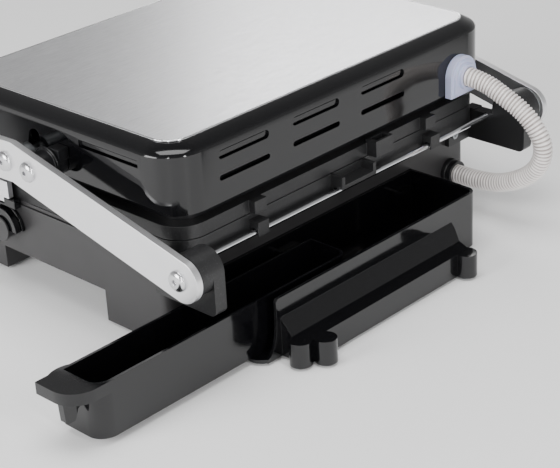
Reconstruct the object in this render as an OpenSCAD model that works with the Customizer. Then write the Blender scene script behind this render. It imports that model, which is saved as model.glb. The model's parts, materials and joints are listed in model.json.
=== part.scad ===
// Panini press: a grill whose lid floats between two side arms hinged at the back,
// with a drip tray that draws out sideways from a trough behind the base.
// The hinge axle is the line x = 0..., y = 0 at hinge_z above the table; the front is -Y.

/* [Lid] */
// Width of the lid shell, side to side
lid_w = 320; // [267:0.5:384]
// Depth of the lid shell, front to back
lid_d = 234; // [195:1:282]
// Height of the lid's upright wall, up to the shoulder
lid_wall_h = 39.5; // [34:0.5:48]
// Height of the sloping shoulder above the wall
shoulder_h = 6.5; // [5:0.5:9]
// How far the shoulder leans in to the steel cover
shoulder_in = 10.5; // [8:0.5:14]
// Radius of the lid's upright corners
lid_corner_r = 27; // [22:1:32]
// Wall of the lid shell
lid_wall = 3; // [2.5:0.1:3.6]
// Thickness of the brushed steel cover
cover_t = 1.2; // [1:0.1:1.5]
// Gap between the hinge axle and the lid's rear face
lid_back = 21; // [20:0.5:26]

/* [Vents and cable] */
// Length of one vent slot
slot_w = 45.5; // [36:0.5:54]
// Distance from one pair of vent slots to the next
slot_pitch = 67.5; // [60:0.5:81]
// Height of one vent slot
slot_h = 6; // [5:0.5:7]
// Outer diameter of the corrugated conduit
hose_d = 14; // [12:0.5:14]
// Radius of the arched cable gland
gland_r = 14.5; // [13:0.5:17.5]

/* [Plates] */
// Height of the rim of the lower plate
lower_rim_h = 14; // [12:0.5:16]
// Height of the rim of the upper plate
upper_rim_h = 9.5; // [8.5:0.5:11]
// Distance from one cooking rib to the next
rib_pitch = 11; // [9.5:0.5:13]
// Height of a cooking rib
rib_h = 4; // [3.4:0.1:4.8]
// Diameter of a heating element
heater_d = 6.5; // [5.5:0.5:7.8]

/* [Base] */
// Height of the hinge axle above the table
hinge_z = 76; // [75:0.5:80]
// Height of the base from the foot pads to the parting line
base_h = 62; // [60:0.5:62.5]
// How far the lid overhangs each side of the base
side_overhang = 5.5; // [5:0.1:6.5]
// Gap between the hinge axle and the base's rear wall
base_back = 40; // [38:0.5:44]
// Wall of the base
base_wall = 3; // [2.5:0.1:3.6]
// Length of a rear leg, front to back
leg_l = 63; // [53:0.5:75]
// Height of the open arch between the legs
leg_h = 23; // [19:0.5:27]

/* [Arms] */
// Thickness of a side arm
arm_t = 5; // [4:0.1:6]
// Width of a side arm
arm_w = 29; // [25:0.5:31]
// Gap between the lid's side and the inner face of an arm
arm_gap = 14.5; // [14.2:0.1:17.4]
// Diameter of the hinge pins
hinge_pin_d = 10; // [8.4:0.1:12]
// Diameter of the screw heads
head_d = 14; // [12:0.1:16.8]
// Diameter of the handle grip
grip_d = 26; // [22:0.5:31]

/* [Tray] */
// Width of the drip tray
tray_w = 34; // [29:0.5:36]
// Height of the drip tray
tray_h = 38; // [32:0.5:40]
// Wall of the drip tray
tray_wall = 2; // [1.7:0.1:2.4]
// How far the tray is drawn out of its trough
tray_out = 123; // [0:1:240]

/* [Hidden] */
$fn = 48;

// Clearances between pieces
seam = 0.4;          // moving pieces that pass close by
running = 0.05;      // radial clearance of a pin that turns in its bore
snug = 0.02;         // radial clearance of a screw in its own piece
cut = 1;             // how far a cutting shape runs past a face

// Heights
foot_h = 2;
parting_z = foot_h + base_h;
rim_t = 3;
lower_z = parting_z + rim_t;
upper_z = lower_z + lower_rim_h + seam;
lid_z = hinge_z + 24;
shoulder_z = lid_z + lid_wall_h;
cover_z = shoulder_z + shoulder_h;

// Plan, measured from the hinge axle
lid_cy = -(lid_back + lid_d / 2);
lid_front = -(lid_back + lid_d);
base_w = lid_w - 2 * side_overhang;
base_front = lid_front - 7;
base_d = -base_front - base_back;
base_cy = (base_front - base_back) / 2;
base_r = 8;
plate_w = base_w - 3;
plate_back = lid_back + 3;
plate_d = lid_d - 6;
plate_cy = -(plate_back + plate_d / 2);
plate_r = 20;
dish_w = plate_w - 26;
dish_d = plate_d - 20;

// Arms and their pivots
arm_in = lid_w / 2 + arm_gap;
arm_out = arm_in + arm_t;
head_h = 3.4;
socket_r = 1.8;
arm_rear_y = 2.4;
recess = 7;
recess_x = lid_w / 2 - recess;
float_y = lid_cy;
float_z = hinge_z + 34.7;
limiter_y = float_y - 23.7;
limiter_z = float_z + 1.5;
knee_y = lid_cy - 17;
knee_z = hinge_z + 37;
handle_y = lid_front - 42;
handle_z = hinge_z + 32;
journal_r = 7;
block_t = 9;
screw_r = 4;
screw_in = 12;
boss_r = arm_w / 2;
bracket_in = plate_w / 2 + 1;
bracket_t = 9.5;

// Drip trough and tray
trough_wall = 2.5;
trough_back = 21.5;
trough_h = 44;
trough_end = -(base_w / 2 - 65);
mouth_x = base_w / 2 - 36;
lip_x = base_w / 2 - 21;
wedge_x0 = trough_end + 30;
wedge_x1 = mouth_x - 3.5;
wedge_y = trough_back + 21;
wedge_ledge_z = 19;
wedge_top_z = 30;
lobe_r = 7.5;
far_lobe_y = wedge_y + 4.7;
tray_z = foot_h + trough_wall + seam;
tray_cy = -5;
tray_home = trough_end + trough_wall + 2.5;
tray_x0 = tray_home + tray_out;
thumb_l = 18;
tray_box_l = base_w / 2 - tray_home - thumb_l;

// The middle of the footprint is the origin
org_x = (max(arm_out + head_h, tray_x0 + tray_box_l + thumb_l) - (arm_out + head_h)) / 2;
org_y = (far_lobe_y + lobe_r + handle_y - grip_d / 2 - 1.5) / 2;

// Colours
GLOSS = "#141416";
SATIN = "#232325";
SLATE = "#4a4a4e";
STEEL = "#c9cbcd";
ALLOY = "#d9dadb";
COATED = "#2a2a2b";
LILAC = "#c3c6dc";
CREAM = "#ddd8d0";

module place() { translate([-org_x, -org_y, 0]) children(); }

module both() {
    children();
    mirror([1, 0, 0]) children();
}

// Rounded rectangle about the origin
module rrect(w, d, r) {
    square([w - 2 * r, d], center = true);
    square([w, d - 2 * r], center = true);
    for (sx = [-1, 1], sy = [-1, 1])
        translate([sx * (w / 2 - r), sy * (d / 2 - r)]) circle(r);
}

module slab(w, d, r, cy, z0, z1) {
    translate([0, cy, z0]) linear_extrude(z1 - z0) rrect(w, d, r);
}

// An outline in Y and Z, drawn out along X from x0 to x1
module along_x(x0, x1) {
    translate([x0, 0, 0]) rotate([90, 0, 90]) linear_extrude(x1 - x0) children();
}

// An outline in X and Z, drawn out along Y from y0 to y1
module along_y(y0, y1) {
    translate([0, y1, 0]) rotate([90, 0, 0]) linear_extrude(y1 - y0) children();
}

module box(x0, x1, y0, y1, z0, z1) {
    translate([x0, y0, z0]) cube([x1 - x0, y1 - y0, z1 - z0]);
}

module rod_x(r, x0, x1, y, z) {
    translate([x0, y, z]) rotate([0, 90, 0]) cylinder(r = r, h = x1 - x0);
}

module rod_y(r, y0, y1, x, z) {
    translate([x, y1, z]) rotate([90, 0, 0]) cylinder(r = r, h = y1 - y0);
}

// Button head with a hexagon socket, seated on the plane x = 0 and facing +X
module button_head() {
    difference() {
        rotate([0, 90, 0]) rotate_extrude() polygon([
            [0, 0], [head_d / 2, 0], [head_d / 2, head_h * 0.32], [head_d * 0.44, head_h * 0.66],
            [head_d * 0.32, head_h * 0.92], [head_d * 0.2, head_h], [0, head_h]
        ]);
        translate([head_h - 2, 0, 0]) rotate([0, 90, 0]) cylinder(r = socket_r, h = 4, $fn = 6);
    }
}

// Countersunk-looking pan head with a cross slot, seated on z = 0 and facing -Z
module pan_head(r) {
    difference() {
        translate([0, 0, -1.6]) cylinder(r = r, h = 1.6);
        for (a = [0, 90]) rotate(a) translate([-r * 0.6, -0.4, -1.6 - cut]) cube([r * 1.2, 0.8, cut + 0.8]);
    }
}

// ---- Base ----

// A leg whose outer face stands in from the base's side by inset
module leg(y0, y1, inset, w) {
    intersection() {
        box(base_w / 2 - inset - w, base_w / 2 - inset, y0, y1, foot_h, foot_h + leg_h + base_wall);
        slab(base_w, base_d, base_r, base_cy, 0, parting_z);
    }
}

front_inset = 6.5;
front_leg_w = 21.5;
front_leg_l = leg_l - 25;
rear_leg_w = 32;

module base_shell() {
    color(SLATE) place() {
        difference() {
            slab(base_w, base_d, base_r, base_cy, foot_h + leg_h, parting_z);
            slab(base_w - 2 * base_wall, base_d - 2 * base_wall, base_r - base_wall, base_cy,
                 foot_h + leg_h + base_wall, parting_z + cut);
            slab(base_w - 90, base_d - 60, 10, base_cy, foot_h, foot_h + leg_h + base_wall + cut);
            rod_y(knob_shaft_r + running, base_front - cut, base_front + base_wall + cut, 0, knob_z);
            both() rod_y(lamp_r + snug, base_front - cut, base_front + base_wall + cut, lamp_x, knob_z);
            rod_y(hose_d / 2 - 1, -base_back - base_wall - cut, -base_back + cut, boot_x, boot_z);
        }
        both() {
            leg(base_front + 4, base_front + 4 + front_leg_l, front_inset, front_leg_w);
            leg(-base_back - leg_l, -base_back, 0, rear_leg_w);
        }
    }
}

module base_rim() {
    color(SLATE) place() difference() {
        translate([0, (base_front - plate_back - 2) / 2, parting_z])
            linear_extrude(rim_t) rrect(base_w - 2, -base_front - plate_back - 2, plate_r);
        slab(dish_w + 2, dish_d + 2, plate_r - 9, plate_cy, parting_z - cut, lower_z + cut);
    }
}

module bottom_cover() {
    color("#9fa3a6") place() difference() {
        slab(base_w - 70, base_d - 40, 12, base_cy, foot_h + leg_h - 1.2, foot_h + leg_h);
        for (i = [-3:3]) translate([i * 16, base_cy, foot_h + leg_h - 1.2 - cut])
            linear_extrude(1.2 + 2 * cut) rrect(5, 70, 2.4);
    }
}

module cover_screws() {
    color("#8d9194") place()
        for (sx = [-1, 1], sy = [-1, 1])
            translate([sx * (base_w / 2 - 40), base_cy + sy * (base_d / 2 - 26), foot_h + leg_h - 1.2])
                pan_head(3.5);
}

module foot_pads() {
    color("#1b1b1b") place() {
        both() {
            translate([base_w / 2 - front_inset - front_leg_w / 2, base_front + 4 + front_leg_l / 2, 0])
                cylinder(r = 8, h = foot_h);
            translate([base_w / 2 - rear_leg_w / 2, -base_back - 14, 0]) cylinder(r = 8, h = foot_h);
        }
        for (x = [trough_end + 12, mouth_x - 14])
            translate([x, -8, 0]) cylinder(r = 8, h = foot_h);
    }
}

// Web, boss and flange that carry the hinge at one side
module hinge_bracket() {
    difference() {
        union() {
            along_x(bracket_in, bracket_in + bracket_t) difference() {
                union() {
                    translate([-base_back, hinge_z - 28]) square([base_back + boss_r - 5, 24]);
                    translate([-8, hinge_z - 28]) square([boss_r + 3, 28]);
                    translate([-8, hinge_z - 23]) square([boss_r + 8, 23]);
                    translate([boss_r - 5, hinge_z - 23]) circle(5);
                }
                translate([-base_back + 9, hinge_z - 4 - cut]) square([10, cut * 2]);
            }
            rod_x(boss_r, bracket_in, arm_in - 1 - seam, 0, hinge_z);
            box(bracket_in - 24, bracket_in + 1, -base_back, -base_back + 4, hinge_z - 28, parting_z - 0.5);
        }
        rod_x(hinge_pin_d / 2 + running, bracket_in + 2, arm_in + cut, 0, hinge_z);
        rod_y(2 + snug, -base_back - cut, -base_back + 4 + cut, bracket_in - 18, hinge_z - 20);
    }
}

module hinge_bracket_right() { color(COATED) place() hinge_bracket(); }

module hinge_bracket_left() { color(COATED) place() mirror([1, 0, 0]) hinge_bracket(); }

module bracket_screws() {
    color("#8d9194") place() both()
        translate([bracket_in - 18, -base_back + 4, hinge_z - 20]) rotate([90, 0, 0]) pan_head(3.2);
}

// Rear wall of the trough, its mouth edge flaring out towards the floor
module trough_rear_outline() {
    flare = lip_x - mouth_x - 5;
    polygon(concat(
        [[trough_end, foot_h], [lip_x - 5, foot_h], [lip_x - 5, foot_h + trough_wall]],
        [for (a = [10:10:90])
            [mouth_x + flare * (1 - sin(a)), foot_h + trough_wall + (trough_h - 20) * (1 - cos(a))]],
        [[mouth_x, trough_h - 2], [mouth_x - 2, trough_h], [trough_end, trough_h]]
    ));
}

module wedge_outline() {
    polygon([
        [trough_back - 1, foot_h], [wedge_y, foot_h], [wedge_y, wedge_ledge_z],
        [trough_back + 9, wedge_ledge_z], [trough_back, wedge_top_z], [trough_back - 1, wedge_top_z]
    ]);
}

module lobe(x, y) {
    translate([x, y, foot_h]) cylinder(r = lobe_r, h = wedge_ledge_z - foot_h);
}

module latch_bar(x, len) {
    y0 = -base_back + trough_wall - 0.5;
    box(x, x + len, y0, y0 + 5, 30, 33.5);
    box(x + len - 3, x + len, y0, y0 + 6.5, 26, 37);
}

module drip_trough() {
    inner_r = 8;
    color(GLOSS) place() {
        difference() {
            union() {
                translate([trough_end, -base_back, foot_h])
                    cube([lip_x - 10 - trough_end, trough_back + base_back, trough_wall]);
                translate([trough_end, -base_back, foot_h])
                    cube([lip_x - trough_end, trough_back + base_back - 10, trough_wall]);
                translate([lip_x - 10, trough_back - 10, foot_h]) cylinder(r = 10, h = trough_wall);
                box(trough_end, lip_x - 4, -base_back, -base_back + trough_wall, foot_h, trough_h);
                box(trough_end, trough_end + trough_wall, -base_back, trough_back, foot_h, trough_h);
                along_y(trough_back - trough_wall, trough_back) trough_rear_outline();
                for (y = [tray_cy - tray_w / 2 - 2, tray_cy + tray_w / 2 + 0.5])
                    box(trough_end + 20, lip_x - 20, y, y + 1.5, foot_h + 1, tray_z + 3.5);
                translate([trough_end + inner_r, trough_back - inner_r, foot_h])
                    cylinder(r = inner_r, h = trough_h - foot_h);
            }
            translate([trough_end + inner_r, trough_back - inner_r, foot_h + trough_wall])
                cylinder(r = inner_r - trough_wall, h = trough_h);
            translate([trough_end + inner_r, -base_back + trough_wall, foot_h + trough_wall])
                cube([inner_r, base_back + trough_back - 2 * trough_wall, trough_h]);
            translate([trough_end + trough_wall, -base_back + trough_wall, foot_h + trough_wall])
                cube([inner_r, base_back + trough_back - inner_r - trough_wall, trough_h]);
            difference() {
                translate([trough_end - cut, trough_back - inner_r, -cut])
                    cube([inner_r + cut, inner_r + cut, trough_h + 2 * cut]);
                translate([trough_end + inner_r, trough_back - inner_r, -2 * cut])
                    cylinder(r = inner_r, h = trough_h + 4 * cut);
            }
        }
        latch_bar(35, 24);
        latch_bar(trough_end + 5, 22);
        intersection() {
            along_x(wedge_x0, wedge_x1) wedge_outline();
            linear_extrude(trough_h) polygon([
                [wedge_x0, trough_back - 2], [wedge_x0, trough_back + 3], [wedge_x0 + 7.5, wedge_y],
                [wedge_x1, wedge_y], [wedge_x1, trough_back - 2]
            ]);
        }
        lobe(wedge_x1 - 0.5, wedge_y - 5.2);
        lobe(wedge_x1 - 13.5, far_lobe_y);
        lobe(wedge_x0 + 13, wedge_y + 2.3);
    }
}

module plate_rod() {
    color("#e2e4e6") place() rod_x(rod_r, -bracket_in, bracket_in, rod_y0, rod_z);
}

rod_r = 2;
rod_y0 = -plate_back + 5;
rod_z = lower_z + 2.5;

// ---- Plates ----

// Dished cooking plate in its lying position: rim ring, floor and ribs, ribs up
module cooking_plate(rim_h, floor_z, floor_t) {
    ribs = floor((dish_w - 16) / rib_pitch);
    difference() {
        slab(plate_w, plate_d, plate_r, 0, 0, rim_h);
        slab(dish_w, dish_d, plate_r - 10, 0, -cut, rim_h + cut);
    }
    difference() {
        slab(dish_w, dish_d, plate_r - 10, 0, min(0, floor_z), rim_h);
        slab(dish_w - 6, dish_d - 6, plate_r - 13, 0, floor_z + floor_t, rim_h + cut);
        slab(dish_w - 6, dish_d - 6, plate_r - 13, 0, -rim_h, floor_z);
    }
    for (i = [0:ribs - 1])
        translate([(i - (ribs - 1) / 2) * rib_pitch, 0, floor_z + floor_t])
            along_y(-dish_d / 2 + 10, dish_d / 2 - 10)
                polygon([[-2.6, -0.5], [2.6, -0.5], [1.4, rib_h], [-1.4, rib_h]]);
}

module plate_hook(x) {
    difference() {
        box(x, x + hook_w, -plate_back - 1, -plate_back + 8.5, lower_z, lower_z + 10);
        box(x - cut, x + hook_w + cut, rod_y0 - rod_r - seam, rod_y0 + rod_r + seam,
            lower_z - cut, rod_z + rod_r + seam);
    }
}

hook_w = 10;
hook_x = plate_w / 2 - 69.5;
floor_t = 4;
lower_floor = 3;
upper_floor = 1.5;
frame_t = 2.5;

module lower_plate() {
    color(COATED) place() {
        translate([0, plate_cy, lower_z]) cooking_plate(lower_rim_h, lower_floor, floor_t);
        plate_hook(hook_x);
        mirror([1, 0, 0]) plate_hook(hook_x);
        difference() {
            box(-20.5, 14.5, -plate_back - 1, -plate_back + 11, lower_z, lower_z + lower_rim_h);
            box(-21.5, 15.5, rod_y0 - rod_r - seam, -plate_back + 12, lower_z - cut, rod_z + rod_r + seam);
            box(-17.5, 11.5, -plate_back - 2, -plate_back + 12, lower_z + 8, lower_z + lower_rim_h + cut);
        }
    }
}

module upper_plate() {
    color(COATED) place() {
        translate([0, plate_cy, upper_z + upper_rim_h]) mirror([0, 0, 1])
            cooking_plate(upper_rim_h, -upper_floor, floor_t);
        both() box(hook_x - 2, hook_x + 9, -plate_back - 1, -plate_back + 5.5,
                   upper_z + 0.6, upper_z + upper_rim_h);
        difference() {
            box(-41.5, -23.5, -plate_back - 1, -plate_back + 9, upper_z + 0.6, upper_z + upper_rim_h + 3);
            box(-38.5, -26.5, -plate_back + 1, -plate_back + 7, upper_z, upper_z + upper_rim_h + 4);
        }
    }
}

// Two hairpin heating elements lying on the plane z = 0, held down by straps that stand on it
module heater() {
    r = heater_d / 2;
    bend = 22;
    x1 = dish_w / 2 - 40;
    for (sy = [-1, 1]) translate([0, sy * 48, 0]) {
        translate([0, 0, r]) {
            for (s = [-1, 1]) translate([-x1, s * bend, 0]) rotate([0, 90, 0]) cylinder(r = r, h = 2 * x1);
            translate([x1, 0, 0]) difference() {
                rotate_extrude() translate([bend, 0]) circle(r);
                translate([-2 * bend, -2 * bend, -2 * r]) cube([2 * bend, 4 * bend, 4 * r]);
            }
        }
        for (x = [-x1 * 0.7, x1 * 0.7]) {
            translate([x - 4, -bend - r - 4, heater_d - 1]) cube([8, 2 * (bend + r + 4), 2.5]);
            for (s = [-1, 1]) translate([x - 4, s * (bend + r + 2.5) - 1.5, 0]) cube([8, 3, heater_d]);
        }
    }
}

module lower_heater() {
    color("#6d6a66") place() translate([0, plate_cy, lower_z + lower_floor]) mirror([0, 0, 1]) heater();
}

module upper_heater() {
    color("#6d6a66") place() translate([0, plate_cy, upper_z + upper_rim_h + upper_floor]) heater();
}

// Thin pan, open upwards, between heights z0 and z1
module reflector(w, d, cy, z0, z1) {
    difference() {
        slab(w, d, 10, cy, z0, z1);
        slab(w - 2, d - 2, 9, cy, z0 + 1, z1 + cut);
    }
}

module lower_reflector() {
    color("#b4b6b8") place()
        reflector(dish_w - 12, base_d - 30, base_cy, foot_h + leg_h + base_wall, parting_z - 4);
}

module upper_reflector() {
    z0 = lid_z + frame_t;
    color("#b4b6b8") place() translate([0, 0, 2 * z0 + 10]) mirror([0, 0, 1])
        reflector(dish_w + 10, dish_d + 6, plate_cy, z0, z0 + 10);
}

// ---- Controls ----

knob_z = foot_h + leg_h + 20;
knob_shaft_r = 3;
lamp_x = 45;
lamp_r = 3.5;
panel_t = 2;
boot_x = -(base_w / 2 - 20);
boot_z = hinge_z - 50;

module control_panel() {
    color(GLOSS) place() difference() {
        translate([0, 0, knob_z]) along_y(base_front - panel_t, base_front) rrect(130, 34, 8);
        rod_y(knob_shaft_r + running, base_front - panel_t - cut, base_front + cut, 0, knob_z);
        both() rod_y(lamp_r + snug, base_front - panel_t - cut, base_front + cut, lamp_x, knob_z);
    }
}

module thermostat_knob() {
    y0 = base_front - panel_t - seam;
    color(SATIN) place() {
        translate([0, y0, knob_z]) rotate([90, 0, 0]) rotate_extrude() polygon([
            [0, 0], [17, 0], [17, 3], [14.5, 4.5], [13.5, 16], [12.5, 17], [0, 17]
        ]);
        rod_y(knob_shaft_r, y0 - 1, base_front + base_wall + 6, 0, knob_z);
        box(-1.2, 1.2, y0 - 18.2, y0 - 16, knob_z + 3, knob_z + 11.5);
    }
}

module lamp() {
    rod_y(lamp_r, base_front - panel_t - 0.6, base_front + base_wall + 3, 0, knob_z);
    translate([0, base_front - panel_t - 0.6, knob_z]) rotate([90, 0, 0])
        cylinder(r = lamp_r + 0.8, h = 1);
}

module power_lamp() { color("#b3261e") place() translate([-lamp_x, 0, 0]) lamp(); }

module ready_lamp() { color("#2f8f46") place() translate([lamp_x, 0, 0]) lamp(); }

// Two ringed collars round the lower end of the conduit
module hose_boot() {
    color(SATIN) place() difference() {
        union() {
            rod_y(hose_d / 2 + 3, -base_back, -base_back + 3.4, boot_x, boot_z);
            rod_y(hose_d / 2 + 1.6, -base_back + 2.8, -base_back + 6, boot_x, boot_z);
            rod_y(hose_d / 2 + 2.6, -base_back + 5.2, -base_back + 8.4, boot_x, boot_z);
        }
        rod_y(hose_d / 2 + 0.2, -base_back + 4, -base_back + 8.4 + cut, boot_x, boot_z);
        rod_y(hose_d / 2 - 1, -base_back - cut, -base_back + 5, boot_x, boot_z);
    }
}

// Plate release on the right flank: a bright tab that pushes inwards, its keel in a black guide
release_y = plate_cy - 63.5;
release_travel = 2;
guide_top = lower_z + 1.5;
guide_out = base_w / 2 + 5.5;

module release_guide() {
    color(GLOSS) place() difference() {
        box(base_w / 2, guide_out, release_y - 16, release_y + 16, guide_top - 6.5, guide_top);
        box(base_w / 2 - cut, guide_out + cut, release_y - 4 - seam, release_y + 4 + seam,
            guide_top - 4 - seam, guide_top + cut);
    }
}

module release_tab() {
    x0 = base_w / 2 - 1 + seam + release_travel;
    color(ALLOY) place() {
        box(x0, guide_out + 0.5, release_y - 11, release_y + 11, guide_top + seam, guide_top + 13.5);
        box(x0, guide_out - 0.5, release_y - 4, release_y + 4, guide_top - 4, guide_top + 1);
    }
}

// Height lever on the right flank: a C-shaped, double-rimmed ring that turns round a capped hub
lever_y = plate_cy - 62;
lever_z = foot_h + leg_h + 20;
lever_r = 16.5;
hub_r = 8;

module lever_hub() {
    x = base_w / 2;
    color(SLATE) place() {
        rod_x(hub_r, x, x + 9, lever_y, lever_z);
        rod_x(hub_r + 1.2, x + 8.5, x + 10, lever_y, lever_z);
    }
}

module height_lever() {
    x = base_w / 2 + seam;
    color(GLOSS) place() difference() {
        union() {
            rod_x(lever_r, x, x + 2.6, lever_y, lever_z);
            rod_x(lever_r - 2, x + 2, x + 3.4, lever_y, lever_z);
            rod_x(lever_r - 0.8, x + 3.2, x + 7.6, lever_y, lever_z);
        }
        rod_x(hub_r + running, x - cut, x + 9, lever_y, lever_z);
        along_x(x - cut, x + 9) translate([lever_y, lever_z]) polygon([
            [0, 0], 2 * lever_r * [cos(240), sin(240)], 2 * lever_r * [cos(300), sin(300)], [2 * lever_r, 0]
        ]);
    }
}

// ---- Arms and handle ----

// Side view of an arm: two straight runs that meet in a mitred knee, with round ends
module arm_outline() {
    rear = [arm_rear_y, hinge_z];
    knee = [knee_y, knee_z];
    front = [handle_y, handle_z];
    along1 = unit(knee - rear);
    along2 = unit(front - knee);
    out1 = [along1.y, -along1.x] * arm_w / 2;
    out2 = [along2.y, -along2.x] * arm_w / 2;
    mitre = (out1 + out2) / (1 + along1 * along2);
    polygon(concat(
        [knee + mitre],
        [for (a = [0:6:180]) front + cos(a) * out2 + sin(a) * arm_w / 2 * along2],
        [knee - mitre],
        [for (a = [0:6:180]) rear - cos(a) * out1 - sin(a) * arm_w / 2 * along1]
    ));
}

module arm() {
    difference() {
        along_x(arm_in, arm_out) arm_outline();
        rod_x(hinge_pin_d / 2 + snug, arm_in - cut, arm_out + cut, 0, hinge_z);
        rod_x(screw_r + snug, arm_in - cut, arm_out + cut, float_y, float_z);
        rod_x(screw_r + snug, arm_in - cut, arm_out + cut, limiter_y, limiter_z);
        rod_x(screw_r + snug, arm_in - cut, arm_out + cut, handle_y, handle_z);
    }
}

module arm_right() { color(ALLOY) place() arm(); }

module arm_left() { color(ALLOY) place() mirror([1, 0, 0]) arm(); }

module hinge_pins() {
    color(STEEL) place() both() {
        rod_x(hinge_pin_d / 2, bracket_in + 3, arm_out, 0, hinge_z);
        translate([arm_out, 0, hinge_z]) button_head();
    }
}

module hinge_washers() {
    color("#a9abad") place() both() difference() {
        rod_x(boss_r - 1, arm_in - 1, arm_in, 0, hinge_z);
        rod_x(hinge_pin_d / 2 + snug, arm_in - 1 - cut, arm_in + cut, 0, hinge_z);
    }
}

module float_hubs() {
    color(SATIN) place() both() difference() {
        union() {
            rod_x(10.5, recess_x + block_t + 0.6, arm_in, float_y, float_z);
            rod_x(12.3, recess_x + block_t + 0.6, recess_x + block_t + 2.2, float_y, float_z);
            rod_x(journal_r, recess_x - lid_wall - 1, recess_x + block_t + 1, float_y, float_z);
        }
        rod_x(screw_r + snug, arm_in - screw_in - cut, arm_in + cut, float_y, float_z);
    }
}

module limiter_pins() {
    color("#8d9194") place() both() difference() {
        union() {
            rod_x(6.5, arm_in - 16, arm_in, limiter_y, limiter_z);
            rod_x(3, recess_x - lid_wall - 2, arm_in - 15, limiter_y, limiter_z);
        }
        rod_x(screw_r + snug, arm_in - screw_in - cut, arm_in + cut, limiter_y, limiter_z);
    }
}

module arm_screw(y, z) {
    rod_x(screw_r, arm_in - screw_in, arm_out + 0.5, y, z);
    translate([arm_out, y, z]) button_head();
}

module arm_screws() {
    color(STEEL) place() both() {
        arm_screw(float_y, float_z);
        arm_screw(limiter_y, limiter_z);
        arm_screw(handle_y, handle_z);
    }
}

core_r = 8;
collar_l = 34;

module handle_core() {
    color("#b9bbbd") place() difference() {
        rod_x(core_r, -arm_in, arm_in, handle_y, handle_z);
        both() rod_x(screw_r + snug, arm_in - screw_in - cut, arm_in + cut, handle_y, handle_z);
    }
}

module handle_tube(r, x0, x1) {
    difference() {
        rod_x(r, x0, x1, handle_y, handle_z);
        rod_x(core_r + snug, x0 - cut, x1 + cut, handle_y, handle_z);
    }
}

module handle_grip() {
    color(SATIN) place() handle_tube(grip_d / 2, -arm_in + collar_l, arm_in - collar_l);
}

module handle_collars() {
    color(ALLOY) place() both() handle_tube(grip_d / 2 + 1.5, arm_in - collar_l, arm_in);
}

// ---- Lid ----

gland_x = -(lid_w / 2 - 39);
gland_z = lid_z + 12.5;
slot_first = lid_w / 2 - 63.5;
slot_groups = floor((slot_first - gland_x - gland_r - 6 + slot_pitch - slot_w / 2) / slot_pitch);
recess_front = lid_front + 30;
scoop_y0 = lid_cy + 10;
scoop_y1 = -lid_back - 31;

// A quadratic curve through the ends a and c, pulled towards b
function bend(a, b, c) = [for (t = [0:0.2:1]) (1 - t) * (1 - t) * a + 2 * t * (1 - t) * b + t * t * c];

// Side recess: its upper edge is level, steps down behind the pivot, falls in a long slope,
// then drops at the rear corner
module recess_outline(grow) {
    hi = shoulder_z - 3.5 + grow;
    mid = shoulder_z - 12.2 + grow;
    low = shoulder_z - 21 + grow;
    foot = lid_z + 7.5 + grow;
    front = recess_front - grow;
    rear = -lid_back - 5 + grow;
    polygon(concat(
        [[front, lid_z - cut]],
        bend([front, hi - 12], [front, hi], [front + 12, hi]),
        bend([scoop_y0, hi], [scoop_y0 + 8, hi], [scoop_y0 + 12, hi - 4.2]),
        bend([scoop_y0 + 12, hi - 4.2], [scoop_y0 + 15, mid + 1], [scoop_y0 + 21, mid]),
        bend([scoop_y1, low], [scoop_y1 + 6, low - 1.2], [scoop_y1 + 7, foot + 3]),
        bend([scoop_y1 + 7, foot + 3], [scoop_y1 + 8, foot], [scoop_y1 + 12, foot]),
        [[rear, foot], [rear, lid_z - cut]]
    ));
}

// Hollow or solid form of the lid, shrunk by a wall
module lid_form(shrink, z0) {
    r = lid_corner_r - shrink;
    w = lid_w - 2 * shrink;
    d = lid_d - 2 * shrink;
    slab(w, d, r, lid_cy, z0, shoulder_z - shrink * 0.4);
    hull() {
        slab(w, d, r, lid_cy, shoulder_z - shrink * 0.4 - 0.01, shoulder_z - shrink * 0.4, $fn = 32);
        slab(w - 1.6, d - 1.6, r - 0.8, lid_cy, shoulder_z - shrink * 0.8 + shoulder_h * 0.25 - 0.01,
             shoulder_z - shrink * 0.8 + shoulder_h * 0.25, $fn = 32);
        slab(w - 5, d - 5, r - 2.5, lid_cy, shoulder_z - shrink * 0.8 + shoulder_h * 0.44 - 0.01,
             shoulder_z - shrink * 0.8 + shoulder_h * 0.44, $fn = 32);
        slab(w - 2 * shoulder_in, d - 2 * shoulder_in, r - shoulder_in, lid_cy,
             cover_z - shrink - 0.01, cover_z - shrink, $fn = 32);
    }
}

// Curved slot round the float pivot that the limiter pin rides in
arc_half = 5.8;

module arc_slot() {
    reach = norm([limiter_y - float_y, limiter_z - float_z]) + 2.2;
    translate([float_y, float_z]) {
        polygon(concat(
            [for (a = [158:3:182]) (reach + arc_half) * [cos(a), sin(a)]],
            [for (a = [182:-3:158]) (reach - arc_half) * [cos(a), sin(a)]]
        ));
        for (a = [158, 182]) translate(reach * [cos(a), sin(a)]) circle(arc_half);
    }
}

// Round-ended slot in the lid's rear wall, between heights z0 and z1
module rear_slot(x, w, z0, z1, depth) {
    translate([x, 0, (z0 + z1) / 2]) along_y(-lid_back - depth, -lid_back + cut)
        rrect(w, z1 - z0, (z1 - z0) / 2 - 0.1);
}

vent_t = 1.4;        // height of the slits above and below a vent's bar
vent_bar_in = 1.6;   // depth of a vent's bar behind the wall's face
vent_drop = 16.8;    // from the top of an upper vent to the top of the lower one

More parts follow.
